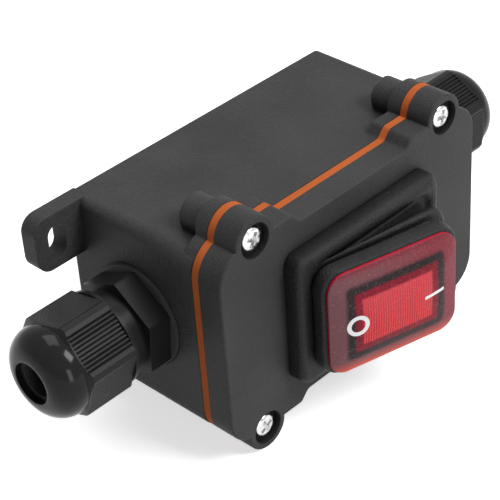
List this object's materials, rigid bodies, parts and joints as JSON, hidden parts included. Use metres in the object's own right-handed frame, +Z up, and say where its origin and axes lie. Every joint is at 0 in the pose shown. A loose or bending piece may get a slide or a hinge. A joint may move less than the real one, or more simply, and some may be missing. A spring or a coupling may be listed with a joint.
{
  "type": "waterproof rocker switch",
  "caption": "Sealed wall box with a lit rocker switch under a rubber boot and a cable gland at each end.",
  "frame": {"origin": "middle of the flat back face that lies on the wall", "axes": "+X along the box to the right cable gland, +Z up, -Y out of the wall towards the rocker"},
  "size_m": [0.1353, 0.0608, 0.057],
  "materials": {
    "box_plastic": "satin moulded",
    "seal_rubber": "matt",
    "zinc_steel": "bright zinc",
    "switch_plastic": "satin",
    "boot_rubber": "fine grain",
    "clear_red": "polished",
    "bright_red": "dimpled",
    "lamp_glass": "clear",
    "resistor_body": "matt",
    "nylon": "satin",
    "spring_steel": "bright",
    "contact_brass": "bright",
    "gland_nylon": "glossy moulded",
    "gland_rubber": "matt"
  },
  "bodies": {
    "root": {"base_housing": "box_plastic", "front_cover": "box_plastic", "cover_gasket": "seal_rubber", "cover_screws": "zinc_steel", "switch_body": "switch_plastic", "rubber_boot": "boot_rubber", "terminal_common_upper": "contact_brass", "terminal_common_lower": "contact_brass", "terminal_line_upper": "contact_brass", "terminal_line_lower": "contact_brass", "gland_body_left": "gland_nylon", "gland_washer_left": "gland_rubber", "gland_locknut_left": "gland_nylon", "gland_body_right": "gland_nylon", "gland_washer_right": "gland_rubber", "gland_locknut_right": "gland_nylon"},
    "rocker": {"rocker_cap": "clear_red", "rocker_actuator": "switch_plastic", "lens_insert": "bright_red", "indicator_lamp": "lamp_glass", "lamp_resistor": "resistor_body", "plunger_upper": "nylon", "plunger_lower": "nylon", "plunger_spring_upper": "spring_steel", "plunger_spring_lower": "spring_steel"},
    "bridge_upper": {"contact_bridge_upper": "contact_brass"},
    "bridge_lower": {"contact_bridge_lower": "contact_brass"},
    "seal_left": {"gland_seal_left": "gland_rubber"},
    "nut_left": {"gland_nut_left": "gland_nylon"},
    "seal_right": {"gland_seal_right": "gland_rubber"},
    "nut_right": {"gland_nut_right": "gland_nylon"}
  },
  "joints": [
    {"name": "rocker_turn", "type": "hinge", "parent": "root", "child": "rocker", "pos_m": [0, -0.0431, 0], "axis": [0, 0, 1], "range_deg": [0, 30], "deforming": ["rubber_boot"]},
    {"name": "contact_upper_rock", "type": "hinge", "parent": "root", "child": "bridge_upper", "pos_m": [0, -0.0336, 0.0042], "axis": [0, 0, 1], "range_deg": [-12, 0]},
    {"name": "contact_lower_rock", "type": "hinge", "parent": "root", "child": "bridge_lower", "pos_m": [0, -0.0336, -0.0042], "axis": [0, 0, 1], "range_deg": [-12, 0]},
    {"name": "gland_left_travel", "type": "slide", "parent": "root", "child": "seal_left", "axis": [-1, 0, 0], "range_m": [-0.0015, 0.003]},
    {"name": "gland_left_nut_turn", "type": "hinge", "parent": "seal_left", "child": "nut_left", "pos_m": [-0.055, -0.0193, 0], "axis": [-1, 0, 0], "range_deg": [-359, 719]},
    {"name": "gland_right_travel", "type": "slide", "parent": "root", "child": "seal_right", "axis": [1, 0, 0], "range_m": [-0.0015, 0.003]},
    {"name": "gland_right_nut_turn", "type": "hinge", "parent": "seal_right", "child": "nut_right", "pos_m": [0.055, -0.0193, 0], "axis": [1, 0, 0], "range_deg": [-359, 719]}
  ],
  "couplings": [
    {"joint": "contact_upper_rock", "follows": "rocker_turn", "ratio": -0.4},
    {"joint": "contact_lower_rock", "follows": "rocker_turn", "ratio": -0.4},
    {"joint": "gland_left_travel", "follows": "gland_left_nut_turn", "m_per_rad": 0.00023873},
    {"joint": "gland_right_travel", "follows": "gland_right_nut_turn", "m_per_rad": 0.00023873}
  ]
}
